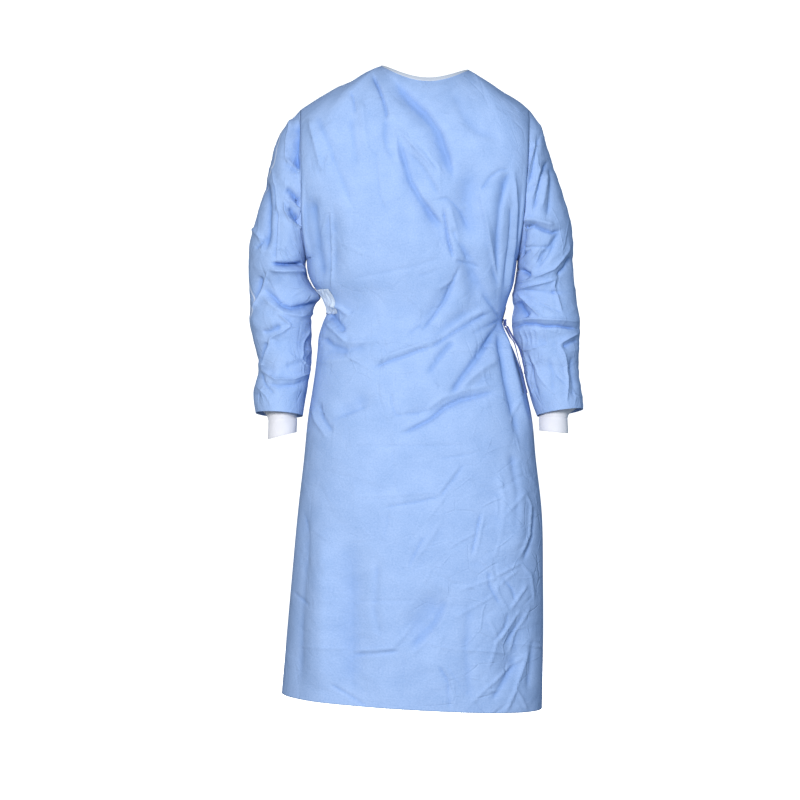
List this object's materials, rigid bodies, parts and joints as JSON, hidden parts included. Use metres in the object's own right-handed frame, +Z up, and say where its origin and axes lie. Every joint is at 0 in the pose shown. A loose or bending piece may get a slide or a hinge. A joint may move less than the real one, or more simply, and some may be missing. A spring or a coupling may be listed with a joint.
{
  "type": "surgical gown",
  "caption": "Long blue surgical gown in its worn form: long sleeves with white knit cuffs, bound round neck, overlapping back flaps, and a belt tied at the waist.",
  "frame": {"origin": "middle of the neck opening, at the height of the shoulders, where a wearer's neck and shoulders hold the gown", "axes": "+Z up, +X towards the wearer's left, -Y towards the front of the gown"},
  "size_m": [0.6182, 0.3153, 1.1879],
  "materials": {
    "cloth": "matte",
    "knit": "matte",
    "binding": "matte",
    "patch": "satin",
    "fastener": "matte"
  },
  "bodies": {
    "root": {"front_panel": "cloth", "back_panel_outer": "cloth", "back_panel_inner": "cloth", "sleeve_right": "cloth", "sleeve_left": "cloth", "cuff_right": "knit", "cuff_left": "knit", "neck_binding": "binding", "belt": "cloth", "belt_patch": "patch", "tie_knot": "cloth", "tie_end_long": "cloth", "tie_end_short": "cloth", "neck_fastener": "fastener"}
  },
  "joints": []
}
